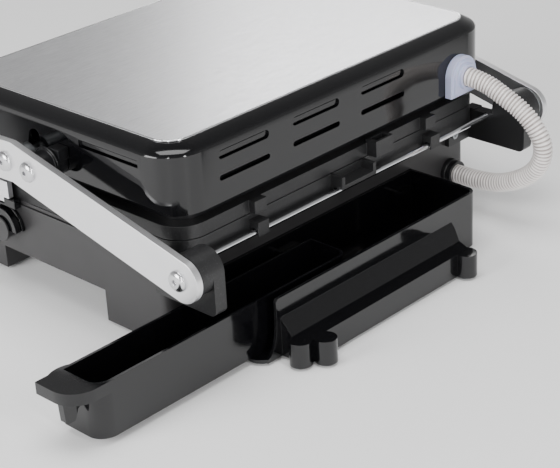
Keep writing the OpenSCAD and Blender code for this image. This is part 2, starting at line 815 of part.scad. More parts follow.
module lid_shell() {
    side = lid_w / 2;
    slot_z = shoulder_z - 4.5;
    color(GLOSS) place() difference() {
        lid_form(0, lid_z);
        difference() {
            lid_form(lid_wall, lid_z - cut);
            both() along_x(recess_x - lid_wall, side + cut) recess_outline(lid_wall);
        }
        both() {
            along_x(recess_x, side + cut) recess_outline(0);
            along_x(recess_x - lid_wall - cut, recess_x + cut) arc_slot();
            rod_x(journal_r + running, recess_x - lid_wall - cut, recess_x + cut, float_y, float_z);
            box(side - vent_bar_in, side + cut, -lid_back - 86, -lid_back - 30, slot_z - 5.2, slot_z);
            for (z = [slot_z - 5.2, slot_z - vent_t])
                box(side - lid_wall - cut, side, -lid_back - 84, -lid_back - 32, z, z + vent_t);
        }
        for (i = [0:slot_groups - 1]) {
            x = slot_first - i * slot_pitch;
            rear_slot(x, slot_w, slot_z - slot_h, slot_z, vent_bar_in);
            for (z = [slot_z - slot_h, slot_z - vent_t])
                box(x - slot_w / 2 + 2.5, x + slot_w / 2 - 2.5,
                    -lid_back - lid_wall - cut, -lid_back - 1, z, z + vent_t);
            rear_slot(x, slot_w, slot_z - slot_h - 14.5, slot_z - vent_drop, lid_wall + cut);
        }
        rod_y(hose_d / 2 - 1, -lid_back - lid_wall - cut, -lid_back + cut, gland_x, gland_z);
    }
}

module lid_cover() {
    color(STEEL) place()
        slab(lid_w - 2 * shoulder_in, lid_d - 2 * shoulder_in, lid_corner_r - shoulder_in, lid_cy,
             cover_z, cover_z + cover_t);
}

module lid_frame() {
    z0 = upper_z + upper_rim_h;
    color("#1a1a1b") place() difference() {
        union() {
            slab(2 * recess_x - 18, lid_d - 22, 16, lid_cy, z0, lid_z + 1);
            slab(2 * (recess_x - lid_wall), lid_d - 2 * lid_wall, lid_corner_r - lid_wall, lid_cy,
                 lid_z, lid_z + frame_t);
        }
        slab(dish_w + 2, dish_d + 2, plate_r - 9, plate_cy, z0 - cut, lid_z + frame_t + cut);
    }
}

module float_blocks() {
    color("#3a3a3d") place() both() difference() {
        union() {
            rod_x(9.5, recess_x, recess_x + block_t, float_y, float_z);
            box(recess_x, recess_x + block_t, float_y, float_y + 11, float_z + 3.5, float_z + 11.7);
        }
        rod_x(journal_r + running, recess_x - cut, recess_x + block_t + cut, float_y, float_z);
    }
}

// Round-topped outline about the gland's centre, flat below at height z0
module arch(r, z0) {
    translate([gland_x, gland_z]) intersection() {
        union() {
            circle(r);
            translate([-r, -r]) square([2 * r, r]);
        }
        translate([-r, z0 - gland_z]) square([2 * r, r + gland_z - z0]);
    }
}

// Arched gland with a round collar that takes the conduit
module cable_gland() {
    color(LILAC) place() difference() {
        union() {
            along_y(-lid_back, -lid_back + 6) {
                arch(gland_r, lid_z - 2);
            }
            along_y(-lid_back + 5, -lid_back + 8) {
                arch(gland_r - 2.5, lid_z);
            }
            rod_y(hose_d / 2 + 2.2, -lid_back + 7, -lid_back + 11, gland_x, gland_z);
        }
        rod_y(hose_d / 2 + 0.2, -lid_back + 6, -lid_back + 11 + cut, gland_x, gland_z);
        rod_y(hose_d / 2 - 1, -lid_back - cut, -lid_back + 7, gland_x, gland_z);
    }
}

// ---- Tray ----

// The tray's box between heights z0 and z1, drawn in by inset
module tray_form(inset, z0, z1) {
    x0 = tray_x0 + inset;
    x1 = tray_x0 + tray_box_l - inset;
    y0 = tray_cy - tray_w / 2 + inset;
    y1 = tray_cy + tray_w / 2 - inset;
    home_r = 9 - inset;
    end_r = 12 - inset;
    translate([0, 0, z0]) linear_extrude(z1 - z0) {
        translate([x0, y0]) square([x1 - x0, y1 - y0 - end_r]);
        translate([x0, y0]) square([x1 - x0 - end_r, y1 - y0 - home_r]);
        translate([x0 + home_r, y0]) square([x1 - x0 - home_r - end_r, y1 - y0]);
        translate([x0 + home_r, y1 - home_r]) circle(home_r);
        translate([x1 - end_r, y1 - end_r]) circle(end_r);
    }
}

module drip_tray() {
    x1 = tray_x0 + tray_box_l;
    z1 = tray_z + tray_h;
    y0 = tray_cy - tray_w / 2;
    y1 = tray_cy + tray_w / 2;
    near_r = 18;
    skirt = 8;
    web_z = tray_z + tray_h / 2;
    color(GLOSS) place() difference() {
        union() {
            tray_form(0, tray_z, z1);
            // Thumb plate with a skirt round its outer edge
            difference() {
                translate([0, 0, z1 - skirt]) linear_extrude(skirt)
                    thumb_outline(x1 - 14, x1 + thumb_l, y0, y1, near_r);
                translate([0, 0, z1 - skirt - cut]) linear_extrude(skirt + cut - 2)
                    thumb_outline(x1 - 15, x1 + thumb_l - 2, y0 + 2, y1 - 2, near_r - 2);
            }
            // Finger rib under the thumb plate, its web arched where it meets the box
            along_y(tray_cy - 2.5, tray_cy + 2.5) polygon([
                [x1 - 3, z1 - 1], [x1 - 4, web_z + 2], [x1 + 1, web_z + 3], [x1 + 3.5, web_z + 1.5],
                [x1 + 5.5, web_z - 4], [x1 + 6.5, web_z - 5.5], [x1 + 12, web_z - 5.5],
                [x1 + thumb_l - 4.5, web_z - 4], [x1 + thumb_l - 3.5, z1 - skirt],
                [x1 + thumb_l - 3.5, z1 - 1]
            ]);
        }
        tray_form(tray_wall, tray_z + tray_wall, z1 + cut);
    }
}

module thumb_outline(x0, x1, y0, y1, r) {
    translate([x0, y0]) square([x1 - x0 - r, y1 - y0]);
    translate([x0, y0]) square([x1 - x0, y1 - y0 - r]);
    translate([x1 - r, y1 - r]) circle(r);
}

// ---- Conduit ----

// Route of the conduit's centre line: how far along it is from gland to boot, then the distance
// behind the hinge axle and the height above the table
ROUTE = [
    [0, -15, 112.5], [0, -8, 112.4], [0.15, 5, 109], [0.25, 19, 102.5], [0.4, 32, 94.5],
    [0.5, 42, 85], [0.6, 47.5, 75], [0.7, 48, 65], [0.8, 44, 54.5], [0.9, 35.5, 44.5],
    [0.95, 22, 35.5], [1, 6, 29], [1, -12, 26.4], [1, -26, 26], [1, -36, 26]
];
HOSE_SIDES = 12;
gland_seat = [gland_x, -lid_back + 6, gland_z];
boot_seat = [boot_x, -base_back + 4, boot_z];

// A route point, moved with the gland and the boot
function shifted(p) =
    let (from = gland_seat - [0, ROUTE[0][1], ROUTE[0][2]], to = boot_seat - [0, ROUTE[14][1], ROUTE[14][2]])
    (1 - p[0]) * from + p[0] * to + [0, p[1], p[2]];

// Smooth curve through the route's points
function pick(i) = shifted(ROUTE[max(0, min(len(ROUTE) - 1, i))]);
function spline(i, t) =
    0.5 * (2 * pick(i) + (pick(i + 1) - pick(i - 1)) * t
    + (2 * pick(i - 1) - 5 * pick(i) + 4 * pick(i + 1) - pick(i + 2)) * t * t
    + (3 * pick(i) - pick(i - 1) - 3 * pick(i + 1) + pick(i + 2)) * t * t * t);
hose_path = [for (i = [0:len(ROUTE) - 2], t = [0, 0.5]) spline(i, t), pick(len(ROUTE))];
function unit(v) = v / norm(v);
function tangent(i) = i == 0 || i == len(hose_path) - 1 ? [0, i == 0 ? 1 : -1, 0]
    : unit(hose_path[i + 1] - hose_path[i - 1]);

module hose() {
    n = len(hose_path);
    rings = [for (i = [0:n - 1]) let (u = unit(cross(tangent(i), [1, 0, 0])), v = cross(tangent(i), u))
        for (k = [0:HOSE_SIDES - 1]) let (a = 360 * k / HOSE_SIDES)
            hose_path[i] + hose_d / 2 * (cos(a) * u + sin(a) * v)];
    sides = [for (i = [0:n - 2], k = [0:HOSE_SIDES - 1]) let (m = (k + 1) % HOSE_SIDES)
        [i * HOSE_SIDES + k, i * HOSE_SIDES + m, (i + 1) * HOSE_SIDES + m, (i + 1) * HOSE_SIDES + k]];
    start = [for (k = [HOSE_SIDES - 1:-1:0]) k];
    end = [for (k = [0:HOSE_SIDES - 1]) (n - 1) * HOSE_SIDES + k];
    color(CREAM) place() polyhedron(rings, concat(sides, [start, end]));
}

base_shell();
base_rim();
bottom_cover();
cover_screws();
foot_pads();
hinge_bracket_right();
hinge_bracket_left();
bracket_screws();
drip_trough();
plate_rod();
lower_plate();
lower_heater();
lower_reflector();
control_panel();
thermostat_knob();
power_lamp();
ready_lamp();
hose_boot();
release_guide();
release_tab();
lever_hub();
height_lever();
arm_right();
arm_left();
hinge_pins();
hinge_washers();
float_hubs();
limiter_pins();
arm_screws();
handle_core();
handle_grip();
handle_collars();
lid_shell();
lid_cover();
lid_frame();
float_blocks();
upper_plate();
upper_heater();
upper_reflector();
cable_gland();
drip_tray();
hose();
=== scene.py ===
# Panini press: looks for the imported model. The file follows the press as it is put together:
# view and light, conduit, base, trough and tray, plates, controls, arms and handle, lid.
import json
import math

import bpy
import bmesh
import numpy as np
from mathutils import Matrix, Vector

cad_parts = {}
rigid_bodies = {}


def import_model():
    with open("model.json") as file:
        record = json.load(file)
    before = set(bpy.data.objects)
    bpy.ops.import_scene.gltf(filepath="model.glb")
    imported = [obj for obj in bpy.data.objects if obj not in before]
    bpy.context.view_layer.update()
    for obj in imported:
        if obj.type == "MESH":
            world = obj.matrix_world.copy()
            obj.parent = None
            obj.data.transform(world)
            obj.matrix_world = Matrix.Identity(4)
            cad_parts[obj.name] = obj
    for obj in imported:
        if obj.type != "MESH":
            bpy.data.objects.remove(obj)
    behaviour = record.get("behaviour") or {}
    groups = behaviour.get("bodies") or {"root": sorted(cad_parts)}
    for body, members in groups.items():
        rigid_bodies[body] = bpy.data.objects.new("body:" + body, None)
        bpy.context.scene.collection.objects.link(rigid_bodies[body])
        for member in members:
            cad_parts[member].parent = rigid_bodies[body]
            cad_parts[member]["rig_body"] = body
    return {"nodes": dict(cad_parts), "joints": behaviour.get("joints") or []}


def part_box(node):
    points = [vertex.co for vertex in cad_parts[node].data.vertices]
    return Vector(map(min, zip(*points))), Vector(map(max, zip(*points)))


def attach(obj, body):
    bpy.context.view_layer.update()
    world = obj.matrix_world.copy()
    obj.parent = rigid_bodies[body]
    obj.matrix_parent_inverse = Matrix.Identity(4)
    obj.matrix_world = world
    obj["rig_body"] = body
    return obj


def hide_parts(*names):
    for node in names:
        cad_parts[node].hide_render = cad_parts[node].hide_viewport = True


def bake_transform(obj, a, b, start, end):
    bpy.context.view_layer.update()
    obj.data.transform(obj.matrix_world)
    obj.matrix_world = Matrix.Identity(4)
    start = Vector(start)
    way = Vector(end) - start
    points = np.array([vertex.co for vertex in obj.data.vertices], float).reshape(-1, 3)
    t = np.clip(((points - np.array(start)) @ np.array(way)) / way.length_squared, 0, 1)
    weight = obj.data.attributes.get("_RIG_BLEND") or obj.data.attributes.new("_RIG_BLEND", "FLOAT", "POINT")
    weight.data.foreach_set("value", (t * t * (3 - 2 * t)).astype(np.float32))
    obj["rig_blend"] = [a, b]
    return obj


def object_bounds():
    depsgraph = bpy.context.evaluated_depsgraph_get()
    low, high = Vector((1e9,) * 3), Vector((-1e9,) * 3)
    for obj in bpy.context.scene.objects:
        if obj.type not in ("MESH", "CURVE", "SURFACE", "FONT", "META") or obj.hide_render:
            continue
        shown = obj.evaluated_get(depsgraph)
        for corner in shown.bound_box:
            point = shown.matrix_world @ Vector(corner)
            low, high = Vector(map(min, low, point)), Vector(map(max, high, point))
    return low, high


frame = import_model()
cad_box = [list(corner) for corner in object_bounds()]


# ---- View ----
# A long lens behind the press on the user's right, looking down on the hinge side. The camera
# tips a little to one side, as a hand-held one does. It stands off the hinge axle.
def joint_point(name):
    """Where a joint's pivot is, in metres."""
    return Vector(next(j["pos_m"] for j in frame["joints"] if j["name"] == name))


axle = joint_point("arms_open")
focal_in_widths = 1649 / 560  # focal length as a share of the picture's width
stand_off = Vector((0.7623, 0.6678, 0.4630))  # from the axle to the eye, in metres
eye = bpy.data.cameras.new("eye")
eye.sensor_width = 36
eye.lens = focal_in_widths * 36
eye.clip_start = 0.05
eye.clip_end = 50
camera = bpy.data.objects.new("camera", eye)
bpy.context.scene.collection.objects.link(camera)
round_to, up_to, tipped = map(math.radians, (134.8, 26.2, 3.1))
back = Vector((math.sin(round_to) * math.cos(up_to), -math.cos(round_to) * math.cos(up_to),
               math.sin(up_to)))
level = (-back).cross(Vector((0, 0, 1))).normalized()
down = (-back).cross(level)
across = math.cos(tipped) * level + math.sin(tipped) * down
below = -math.sin(tipped) * level + math.cos(tipped) * down
place = Matrix((across, -below, back)).transposed().to_4x4()
place.translation = axle + stand_off
camera.matrix_world = place
bpy.context.scene.camera = camera


# ---- Conduit ----
# A ribbed plastic conduit carries the lid's wires down to the base. It is a thin silvery tube
# with rolled ribs 2.6 mm apart, pushed into a socket at each end.
def linear(colour, alpha=1.0):
    """An sRGB hex colour as linear light."""
    parts = [int(colour[i:i + 2], 16) / 255 for i in (1, 3, 5)]
    return [c / 12.92 if c <= 0.04045 else ((c + 0.055) / 1.055) ** 2.4 for c in parts] + [alpha]


def add(tree, kind, out=0, to=None, **settings):
    """Adds a node and returns one of its outputs, linked to a socket if one is given. A setting is a
    property of the node, an input's value, or an output that feeds that input."""
    made = tree.nodes.new(kind)
    for name, value in settings.items():
        if name in made.bl_rna.properties:
            setattr(made, name, value)
            continue
        socket = made.inputs[int(name[1:])] if name[0] == "_" else made.inputs[name.replace("_", " ")]
        if isinstance(value, bpy.types.NodeSocket):
            tree.links.new(value, socket)
        else:
            socket.default_value = value
    if to:
        tree.links.new(made.outputs[out], to)
    return made.outputs[out]


def finish(name, colour, **sockets):
    """A material of one shader. Gives the material, its tree, the shader's inputs and the piece's own
    coordinates in metres, so that a texture's Scale is its lumps to the metre."""
    material = bpy.data.materials.new(name)
    material.use_nodes = True
    tree = material.node_tree
    shader = tree.nodes["Principled BSDF"]
    shader.inputs["Base Color"].default_value = linear(colour)
    for socket, value in sockets.items():
        shader.inputs[socket.replace("_", " ")].default_value = value
    return material, tree, shader.inputs, add(tree, "ShaderNodeTexCoord", "Object")


def sheet_of(points, closed=(False, True), ends=(None, None)):
    """Corners and faces of an (m, n, 3) grid: each point joins its neighbours, rows or columns close
    on themselves where asked, and an end given as a point is closed by a fan to it."""
    m, n = points.shape[:2]
    index = np.arange(m * n).reshape(m, n)
    rows = np.vstack([index, index[:1]]) if closed[0] else index
    rows = np.hstack([rows, rows[:, :1]]) if closed[1] else rows
    quads = np.stack([rows[:-1, :-1], rows[1:, :-1], rows[1:, 1:], rows[:-1, 1:]], -1).reshape(-1, 4)
    corners = points.reshape(-1, 3)
    faces = quads.tolist()
    for end, row, turn in ((ends[0], rows[0], 1), (ends[1], rows[-1], -1)):
        if end is not None:
            tip = len(corners)
            corners = np.vstack([corners, end])
            pair = np.stack([row[:-1], row[1:]], -1)[:, ::turn]
            faces += [[tip, *p] for p in pair.tolist()]
    return corners, faces


def piece(name, parts, material, body, smooth_to=40):
    """One object from several (corners, faces) pairs, its faces turned outwards, riding on a body."""
    corners, faces, start = [], [], 0
    for c, f in parts:
        corners.append(c)
        faces += [[i + start for i in face] for face in f]
        start += len(c)
    mesh = bpy.data.meshes.new(name)
    mesh.from_pydata(np.vstack(corners).tolist(), [], faces)
    shaped = bmesh.new()
    shaped.from_mesh(mesh)
    bmesh.ops.recalc_face_normals(shaped, faces=shaped.faces)
    shaped.to_mesh(mesh)
    shaped.free()
    mesh.materials.append(material)
    made = bpy.data.objects.new(name, mesh)
    bpy.context.scene.collection.objects.link(made)
    smooth(mesh, smooth_to)
    if body:
        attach(made, body)
    return made


def smooth(mesh, angle):
    """Shades the mesh smooth, except across edges that turn by more than the angle."""
    mesh.shade_smooth()
    mesh.set_sharp_from_angle(angle=math.radians(angle))


def curve_through(points, steps):
    """A smooth curve: between two points it is the cubic whose slope at each is half the step from the
    point before to the point after. Gives steps places to each span."""
    p = np.vstack([points[:1], points, points[-1:]])
    t = np.linspace(0, 1, steps, endpoint=False)[:, None]
    a, b, c, d = (p[i:len(p) - 3 + i, None] for i in range(4))
    squared, cubed = 2 * a - 5 * b + 4 * c - d, 3 * b - a - 3 * c + d
    run = 0.5 * (2 * b + (c - a) * t + squared * t ** 2 + cubed * t ** 3)
    return np.vstack([run.reshape(-1, 3), points[-1:]])


def even(path, step):
    """The same path with its points a fixed step apart, and each point's distance along it."""
    run = np.concatenate([[0], np.cumsum(np.linalg.norm(np.diff(path, axis=0), axis=1))])
    there = np.linspace(0, run[-1], int(round(run[-1] / step)) + 1)
    return np.stack([np.interp(there, run, path[:, i]) for i in range(3)], -1), there


def tube(path, radius, sides=36):
    """Rings round a path: each lies square to it, and starts from the direction nearest +X."""
    ahead = np.gradient(path, axis=0)
    ahead /= np.linalg.norm(ahead, axis=1)[:, None]
    first = np.cross(ahead, [1.0, 0, 0])
    first /= np.linalg.norm(first, axis=1)[:, None]
    second = np.cross(ahead, first)
    a = np.linspace(0, 2 * np.pi, sides, endpoint=False)[None, :, None]
    reach = np.asarray(radius)[:, None, None]
    return path[:, None] + reach * (np.cos(a) * first[:, None] + np.sin(a) * second[:, None])


rib_pitch = 0.0026
rib_depth = 0.0011
conduit_r = 0.0070
gland_low, gland_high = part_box("cable_gland")
boot_low, boot_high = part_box("hose_boot")
upper_end = np.array([(gland_low.x + gland_high.x) / 2, gland_low.y + 0.006, axle.z + 0.0365])
lower_end = np.array([(boot_low.x + boot_high.x) / 2, boot_low.y + 0.004,
                      (boot_low.z + boot_high.z) / 2])
# How far along from gland to boot, then millimetres behind and above each end's own place
route = np.array([
    [0, -15, 112.5], [0, -8, 112.4], [0.15, 5, 109], [0.25, 19, 102.5], [0.4, 32, 94.5],
    [0.5, 42, 85], [0.6, 47.5, 75], [0.7, 48, 65], [0.8, 44, 54.5], [0.9, 35.5, 44.5],
    [0.95, 22, 35.5], [1, 6, 29], [1, -12, 26.4], [1, -26, 26], [1, -36, 26]])
along = route[:, :1]
route_top, route_foot = (np.array([0, *route[i, 1:] / 1000]) for i in (0, -1))
laid = (1 - along) * (upper_end - route_top) + along * (lower_end - route_foot)
laid[:, 1:] += route[:, 1:] / 1000
conduit_line, conduit_run = even(curve_through(laid, 24), rib_pitch / 8)

silvery_pvc, tree, shader, spot = finish("ribbed silver-grey PVC conduit", "#d8d2ce", IOR=1.52,
                                         Metallic=0.15)
# Painted light: the crest height lightens the rib tops as a painted highlight and darkens the grooves as
# painted shade, with a little grime noise mixed in.
crest = add(tree, "ShaderNodeAttribute", "Fac", attribute_name="crest")
grime = add(tree, "ShaderNodeTexNoise", Vector=spot, Scale=110, Detail=2)
groove_shade_and_grime = add(tree, "ShaderNodeMath", operation="MULTIPLY_ADD", _0=grime, _1=0.5, _2=crest)
high = add(tree, "ShaderNodeMapRange", Value=groove_shade_and_grime, From_Min=0.15, From_Max=1.1)
# Painted shade in the grooves (#857b75) up to a painted highlight on the crests (#f1ecea).
add(tree, "ShaderNodeMix", 2, shader["Base Color"], data_type="RGBA", _0=high, _6=linear("#857b75"),
    _7=linear("#f1ecea"))
add(tree, "ShaderNodeMapRange", 0, shader["Roughness"], Value=high, To_Min=0.55, To_Max=0.26)

# The two lengths meet at the first place that is 28 mm or less above the axle
split = int(np.searchsorted(-conduit_line[:, 2], -(axle.z + 0.028)))


def ribbed(name, first, last):
    """A length of conduit: its radius rises and falls as a rounded cosine of the run, once a rib. The
    height is kept on each point as "crest", from which the finish paints shade into the grooves and a
    highlight on the crests."""
    run = conduit_run[first:last]
    crest_height = (0.5 + 0.5 * np.cos(2 * np.pi * run / rib_pitch)) ** 0.8
    rings = tube(conduit_line[first:last], conduit_r - rib_depth * (1 - crest_height))
    skin = sheet_of(rings, ends=(conduit_line[first], conduit_line[last - 1]))
    made = piece(name, [skin], silvery_pvc, None, 80)
    share = np.append(np.repeat(crest_height, rings.shape[1]), [0.0, 0.0]).astype(np.float32)
    made.data.attributes.new("crest", "FLOAT", "POINT").data.foreach_set("value", share)
    return made


conduit = ribbed("conduit", split, len(conduit_line))
conduit_top = ribbed("conduit_top", 0, split + 1)
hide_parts("hose")
turning = conduit_line[split]
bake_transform(conduit, "base", "arms", start=(turning[0], turning[1], lower_end[2]), end=tuple(turning))
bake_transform(conduit_top, "arms", "lid", start=tuple(turning), end=tuple(conduit_line[0]))


# ---- Light ----
# A white room, darker above, with soft lights above, to the right and to the front left;
# two tall narrow ones behind draw bright lines down the lid's corner. The table is pale.
table_low = Vector(cad_box[0])
matt_white, tree, shader, spot = finish("matt white laminate", "#fafafa", Roughness=0.6)
cloudy = add(tree, "ShaderNodeTexNoise", Vector=spot, Scale=2.5)
add(tree, "ShaderNodeMix", 2, shader["Base Color"], data_type="RGBA", _0=cloudy, _6=linear("#f8f8f8"),
    _7=linear("#fcfcfc"))
side = np.linspace(-4, 4, 9)
flat = np.stack([*np.meshgrid(side, side, indexing="ij"), np.full((9, 9), table_low.z)], -1)
piece("table_top", [sheet_of(flat, closed=(False, False))], matt_white, None)

room = bpy.data.worlds.new("white room")
room.use_nodes = True
sky = room.node_tree
upward = add(sky, "ShaderNodeSeparateXYZ", "Z", Vector=add(sky, "ShaderNodeTexCoord", "Generated"))
glow = sky.nodes["Background"].inputs
add(sky, "ShaderNodeMapRange", 0, glow["Strength"], Value=upward, From_Min=0.05, From_Max=0.9,
    To_Min=0.62, To_Max=0.2)
glow["Color"].default_value = (1, 1, 1, 1)
bpy.context.scene.world = room


def softbox(name, at, towards, wide, tall, watts):
    """A rectangular light at one point, facing another."""
    lamp = bpy.data.lights.new(name, "AREA")
    lamp.shape = "RECTANGLE"
    lamp.size = wide
    lamp.size_y = tall
    lamp.energy = watts
    made = bpy.data.objects.new(name, lamp)
    made.matrix_world = (Vector(at) - Vector(towards)).to_track_quat("Z", "Y").to_matrix().to_4x4()
    made.location = at
    bpy.context.scene.collection.objects.link(made)


middle = axle + Vector((0, -0.14, 0.03))
softbox("overhead", middle + Vector((0.2, 0.2, 2.0)), middle, 1.6, 1.2, 34)
softbox("front_left", middle + Vector((-1.75, -1.35, 1.05)), middle, 0.8, 0.45, 9)
softbox("right_wall", middle + Vector((1.9, -0.35, 0.7)), middle, 1.1, 0.9, 34)
softbox("tall_back", middle + Vector((0.35, 1.6, 0.45)), middle, 0.12, 1.2, 13)
softbox("tall_right", middle + Vector((1.35, 0.95, 0.45)), middle, 0.1, 1.2, 8)


# ---- Base ----
# The base is a hollow ABS moulding with a fine matt texture, on four short legs. A thin rim on
# top seats the lower plate. Rubber pads are pushed into the legs.
edge_turn = 32  # where two faces meet at more than this, in degrees, there is an edge to round


def eased(node, material, radius_mm, steps=2, name=None):
    """A copy of a CAD solid for show: its triangles are merged into whole faces, and its edges are
    rounded by a bevel of that radius, as moulds, dies and deburring leave them. It stands in for the
    node, and rides on the node's own body."""
    source = frame["nodes"][node]
    mesh = source.data.copy()
    mesh.name = name or node + "_shown"
    shaped = bmesh.new()
    shaped.from_mesh(mesh)
    bmesh.ops.remove_doubles(shaped, verts=shaped.verts, dist=1e-6)
    bmesh.ops.dissolve_limit(shaped, angle_limit=math.radians(0.4), verts=shaped.verts,
                             edges=shaped.edges)
    shaped.to_mesh(mesh)
    shaped.free()
    for layer in list(mesh.attributes):
        if layer.name == "custom_normal":
            mesh.attributes.remove(layer)
    mesh.materials.clear()
    mesh.materials.append(material)
    made = bpy.data.objects.new(mesh.name, mesh)
    bpy.context.scene.collection.objects.link(made)
    smooth(mesh, edge_turn)
    if radius_mm:
        easing = made.modifiers.new("eased edges", "BEVEL")
        easing.width = radius_mm / 1000
        easing.segments = steps
        easing.limit_method = "ANGLE"
        easing.angle_limit = math.radians(edge_turn)
        easing.use_clamp_overlap = True
        easing.harden_normals = True
        easing.miter_outer = "MITER_ARC"
    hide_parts(node)
    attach(made, source["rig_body"])
    return made


mid_noise = {"From_Min": 0.3, "From_Max": 0.7}  # nearly all of a noise texture's values lie between

# Spark-eroded mould texture: matt, with grains too fine to see one by one, drawn 0.5 mm across
slate_abs, tree, shader, spot = finish("fine-textured slate ABS", "#272627", IOR=1.53)
grain = add(tree, "ShaderNodeTexNoise", Vector=spot, Scale=2000, Detail=3)
add(tree, "ShaderNodeBump", 0, shader["Normal"], Height=grain, Distance=0.00003, Strength=0.6)
patches = add(tree, "ShaderNodeTexNoise", Vector=spot, Scale=45)
add(tree, "ShaderNodeMix", 2, shader["Base Color"], data_type="RGBA", _0=patches, _6=linear("#262526"),
    _7=linear("#2e2d2e"))
add(tree, "ShaderNodeMapRange", 0, shader["Roughness"], Value=patches, **mid_noise, To_Min=0.36,
    To_Max=0.46)
for node, radius in (("base_shell", 0.8), ("base_rim", 0.5), ("lever_hub", 0.4)):
    eased(node, slate_abs, radius)

# Soft rubber, dusty on its flats
soft_rubber, tree, shader, spot = finish("matt black rubber", "#161616", Roughness=0.8)
dusty = add(tree, "ShaderNodeTexNoise", Vector=spot, Scale=330)
add(tree, "ShaderNodeMix", 2, shader["Base Color"], data_type="RGBA", _0=dusty, _6=linear("#131313"),
    _7=linear("#232323"))
pores = add(tree, "ShaderNodeTexNoise", Vector=spot, Scale=1250)
add(tree, "ShaderNodeBump", 0, shader["Normal"], Height=pores, Distance=0.00005)
eased("foot_pads", soft_rubber, 0.5)

# Zinc-plated steel: a dull silver with faint cloudy spangle
zinc_steel, tree, shader, spot = finish("zinc-plated steel", "#a9acae", Metallic=1.0)
spangle = add(tree, "ShaderNodeTexNoise", Vector=spot, Scale=160)
add(tree, "ShaderNodeMix", 2, shader["Base Color"], data_type="RGBA", _0=spangle, _6=linear("#9da0a2"),
    _7=linear("#b8bbbd"))
add(tree, "ShaderNodeMapRange", 0, shader["Roughness"], Value=spangle, **mid_noise, To_Min=0.3,
    To_Max=0.46)
for node, radius in (("bottom_cover", 0.2), ("cover_screws", 0.2), ("bracket_screws", 0.2)):
    eased(node, zinc_steel, radius)


# ---- Hinge brackets and plates ----
# Brackets and both plates are die-cast aluminium under a speckled non-stick coat. The coat
# rounds the edges and has a crinkled surface with pale flecks.
coated_cast, tree, shader, spot = finish("speckled non-stick coat on die-cast aluminium", "#1f1f21",
                                         IOR=1.5)
flake_gap = add(tree, "ShaderNodeTexVoronoi", "Distance", Vector=spot, Scale=1300)
flake_tone = add(tree, "ShaderNodeSeparateColor", Color=flake_gap.node.outputs["Color"])
near_middle = add(tree, "ShaderNodeMapRange", Value=flake_gap, From_Min=0.16, From_Max=0.32, To_Min=1,
                  To_Max=0)
one_in_three = add(tree, "ShaderNodeMapRange", Value=flake_tone, From_Min=0.62, From_Max=0.7)
fleck = add(tree, "ShaderNodeMath", operation="MULTIPLY", _0=near_middle, _1=one_in_three)
add(tree, "ShaderNodeMix", 2, shader["Base Color"], data_type="RGBA", _0=fleck, _6=linear("#1c1c1d"),
    _7=linear("#4c4c4e"))
crinkle = add(tree, "ShaderNodeTexNoise", Vector=spot, Scale=1300, Detail=3)
add(tree, "ShaderNodeBump", 0, shader["Normal"], Height=crinkle, Distance=0.00012, Strength=0.9)
add(tree, "ShaderNodeMapRange", 0, shader["Roughness"], Value=crinkle, **mid_noise, To_Min=0.32,
    To_Max=0.5)
for node, radius in (("hinge_bracket_right", 1.0), ("hinge_bracket_left", 1.0), ("lower_plate", 0.8),
                     ("upper_plate", 0.8)):
    eased(node, coated_cast, radius, 3)


# ---- Plate rod ----
# A polished chromed steel rod that the plates hook over. It reflects the room sharply, with
# faint drawing lines: a Mapping of 1 / 60 in X makes its pattern 60 times longer that way.
chrome, tree, shader, spot = finish("polished chrome on steel", "#e6e7ea", Metallic=1.0)
lengthways = add(tree, "ShaderNodeMapping", Vector=spot, Scale=[1 / 60, 1, 1])
drawn = add(tree, "ShaderNodeTexNoise", Vector=lengthways, Scale=2500)
add(tree, "ShaderNodeMapRange", 0, shader["Roughness"], Value=drawn, **mid_noise, To_Min=0.03,
    To_Max=0.1)
eased("plate_rod", chrome, 0.4)


# ---- Heaters and reflectors ----
# Each plate has two hairpin elements in dark oxidised steel sheaths, over a bright pressed
# aluminium pan.
oxide_steel, tree, shader, spot = finish("oxidised stainless sheath", "#5b544e", Metallic=1.0,
                                         Roughness=0.5)
straw = add(tree, "ShaderNodeTexNoise", Vector=spot, Scale=170)
add(tree, "ShaderNodeMix", 2, shader["Base Color"], data_type="RGBA", _0=straw, _6=linear("#4c4744"),
    _7=linear("#74685c"))
bright_pan, tree, shader, spot = finish("bright pressed aluminium", "#c9cbce", Metallic=1.0)
lengthways = add(tree, "ShaderNodeMapping", Vector=spot, Scale=[1 / 25, 1, 1])
rolled = add(tree, "ShaderNodeTexNoise", Vector=lengthways, Scale=1250, Detail=3)
add(tree, "ShaderNodeMapRange", 0, shader["Roughness"], Value=rolled, **mid_noise, To_Min=0.24,
    To_Max=0.4)
for node, material in (("lower_heater", oxide_steel), ("upper_heater", oxide_steel),
                       ("lower_reflector", bright_pan), ("upper_reflector", bright_pan)):
    eased(node, material, 0)


# ---- Trough and tray ----
# The trough behind the base and the tray that slides in it are gloss black ABS mouldings. The
# gloss is nearly a mirror, softened by faint waves in the skin and a little dust.
gloss_abs, tree, shader, spot = finish("gloss black ABS", "#0a0a0c", IOR=1.53)
waves = add(tree, "ShaderNodeTexNoise", Vector=spot, Scale=60, Detail=1)
add(tree, "ShaderNodeBump", 0, shader["Normal"], Height=waves, Distance=0.00006, Strength=0.3)
specks = add(tree, "ShaderNodeTexNoise", Vector=spot, Scale=800, Detail=4)
dust = add(tree, "ShaderNodeMapRange", Value=specks, From_Min=0.56, From_Max=0.76)
add(tree, "ShaderNodeMix", 2, shader["Base Color"], data_type="RGBA", _0=dust, _6=linear("#08080a"),
    _7=linear("#161618"))
add(tree, "ShaderNodeMapRange", 0, shader["Roughness"], Value=dust, To_Min=0.08, To_Max=0.2)
for node, radius in (("drip_trough", 0.9), ("drip_tray", 0.9), ("control_panel", 0.5),
                     ("release_guide", 0.6), ("height_lever", 0.6)):
    eased(node, gloss_abs, radius, 3)


